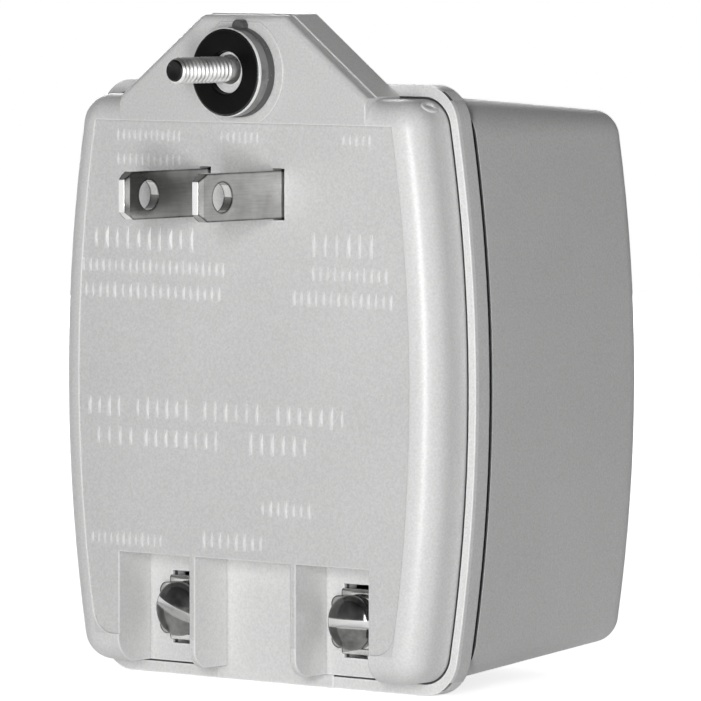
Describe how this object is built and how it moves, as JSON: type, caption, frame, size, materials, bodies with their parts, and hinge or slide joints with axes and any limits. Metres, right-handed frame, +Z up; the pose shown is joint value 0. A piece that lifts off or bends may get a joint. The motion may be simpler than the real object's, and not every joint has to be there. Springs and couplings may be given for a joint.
{
  "type": "plug-in power supply",
  "caption": "Wall plug-in transformer for cameras: bowed moulded case with flat blades, a mounting tab with captive screw and screw terminals in an open bay.",
  "frame": {"origin": "on the wall face, midway between the two blades", "axes": "-Y along the blades towards the outlet, +Z up towards the mounting tab, +X to the right seen from the wall side"},
  "size_m": [0.068, 0.0649, 0.0899],
  "materials": {
    "case_plastic": "fine matte grain",
    "blade_metal": "plated, drawn grain",
    "washer_rubber": "smooth black",
    "screw_steel": "bright zinc",
    "terminal_metal": "plated strip",
    "core_steel": "varnished lamination edges",
    "bobbin_plastic": "natural nylon",
    "copper": "enamelled wire",
    "tape": "polyester wrap",
    "fuse_body": "plain can",
    "lead_black": "insulation",
    "lead_yellow": "insulation"
  },
  "bodies": {
    "base": {"front_cover": "case_plastic", "rear_housing": "case_plastic", "blade_left": "blade_metal", "blade_right": "blade_metal", "rubber_washer": "washer_rubber", "terminal_plate_left": "terminal_metal", "terminal_plate_right": "terminal_metal", "core_e_stack": "core_steel", "core_i_stack": "core_steel", "bobbin": "bobbin_plastic", "primary_winding": "copper", "secondary_winding": "copper", "primary_tape": "tape", "secondary_tape": "tape", "thermal_fuse": "fuse_body", "primary_lead_left": "lead_black", "primary_lead_right": "lead_black", "fuse_lead": "lead_black", "secondary_lead_left": "lead_yellow", "secondary_lead_right": "lead_yellow"},
    "captive_screw": {"mounting_screw": "screw_steel"},
    "left_clamp": {"wire_clamp_left": "terminal_metal"},
    "left_screw": {"terminal_screw_left": "screw_steel"},
    "right_clamp": {"wire_clamp_right": "terminal_metal"},
    "right_screw": {"terminal_screw_right": "screw_steel"}
  },
  "joints": [
    {"name": "mounting_screw_turn", "type": "hinge", "parent": "base", "child": "captive_screw", "pos_m": [0, 0, 0.0165], "axis": [0, -1, 0], "continuous": true},
    {"name": "left_clamp_travel", "type": "slide", "parent": "base", "child": "left_clamp", "axis": [0, -1, 0], "range_m": [0, 0.00238]},
    {"name": "left_screw_turn", "type": "hinge", "parent": "left_clamp", "child": "left_screw", "pos_m": [-0.015, 0, -0.0568], "axis": [0, -1, 0], "range_deg": [0, 1080]},
    {"name": "right_clamp_travel", "type": "slide", "parent": "base", "child": "right_clamp", "axis": [0, -1, 0], "range_m": [0, 0.00238]},
    {"name": "right_screw_turn", "type": "hinge", "parent": "right_clamp", "child": "right_screw", "pos_m": [0.015, 0, -0.0568], "axis": [0, -1, 0], "range_deg": [0, 1080]}
  ],
  "couplings": [
    {"joint": "left_screw_turn", "follows": "left_clamp_travel", "rad_per_m": 7915.8},
    {"joint": "right_screw_turn", "follows": "right_clamp_travel", "rad_per_m": 7915.8}
  ]
}
